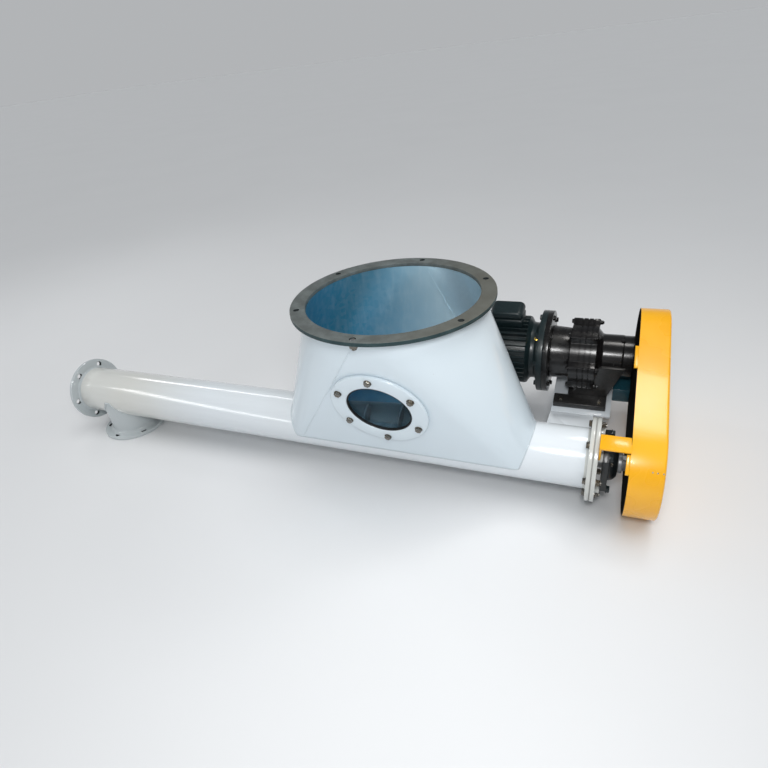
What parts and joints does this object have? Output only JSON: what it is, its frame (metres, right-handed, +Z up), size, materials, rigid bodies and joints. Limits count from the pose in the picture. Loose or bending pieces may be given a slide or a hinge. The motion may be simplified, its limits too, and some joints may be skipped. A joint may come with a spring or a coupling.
{
  "type": "tubular screw conveyor",
  "caption": "Tubular screw conveyor with an oval feed hopper, sight glass, bottom discharge spout and a side geared motor that turns the screw through a guarded chain.",
  "frame": {"origin": "on the top face of the hopper's rim flange, on its discharge side, halfway across the ring", "axes": "+X along the tube to the drive end, +Z up out of the hopper's mouth, +Y to the side that carries the motor"},
  "size_m": [1.9281, 0.7903, 0.578],
  "materials": {
    "white_paint": "gloss white enamel",
    "hopper_paint": "gloss white enamel, galvanised inside",
    "rim_steel": "bare weathered steel",
    "sight_glass": "dark tinted glass",
    "screw_steel": "bare worn steel",
    "motor_green": "dark green enamel",
    "cast_black": "black enamel on casting",
    "guard_yellow": "gloss yellow enamel",
    "chain_steel": "oiled steel",
    "block_teal": "dark blue-green enamel",
    "gasket_grey": "matt"
  },
  "bodies": {
    "root": {"conveyor_tube": "white_paint", "outlet_end_flange": "white_paint", "drive_end_flange": "white_paint", "discharge_spout": "white_paint", "spout_flange": "white_paint", "hopper_body": "hopper_paint", "hopper_rim_flange": "rim_steel", "sight_glass_frame": "white_paint", "sight_glass_pane": "sight_glass", "end_gasket": "gasket_grey", "drive_end_plate": "white_paint", "bearing_flange": "motor_green", "bearing_housing": "motor_green", "drive_chain": "chain_steel", "guard_rim": "guard_yellow", "guard_face_plate": "guard_yellow", "guard_lower_ear": "guard_yellow", "guard_upper_ear": "guard_yellow", "guard_arm": "guard_yellow", "guard_support_block": "block_teal", "drive_platform": "white_paint", "platform_web": "white_paint", "platform_rib_left": "white_paint", "platform_rib_right": "white_paint", "reducer_foot_base": "cast_black", "reducer_foot_pedestal": "cast_black", "reducer_ring_housing": "cast_black", "reducer_input_flange": "cast_black", "reducer_input_housing": "cast_black", "reducer_output_housing": "cast_black", "motor_flange": "motor_green", "motor_end_bell": "motor_green", "motor_body": "motor_green", "motor_fan_cowl": "motor_green", "motor_terminal_box": "motor_green", "motor_terminal_lid": "motor_green"},
    "screw": {"screw_shaft": "screw_steel", "screw_flight_in_tube": "screw_steel", "screw_flight_feed_left": "screw_steel", "screw_flight_feed_right": "screw_steel", "driven_sprocket": "chain_steel"},
    "output": {"reducer_output_shaft": "screw_steel", "drive_sprocket": "chain_steel"}
  },
  "joints": [
    {"name": "screw_spin", "type": "hinge", "parent": "root", "child": "screw", "pos_m": [0, 0, -0.437], "axis": [1, 0, 0], "continuous": true},
    {"name": "drive_spin", "type": "hinge", "parent": "root", "child": "output", "pos_m": [0, 0.36624, -0.33198], "axis": [1, 0, 0], "continuous": true}
  ],
  "couplings": [
    {"joint": "drive_spin", "follows": "screw_spin", "ratio": 1}
  ]
}
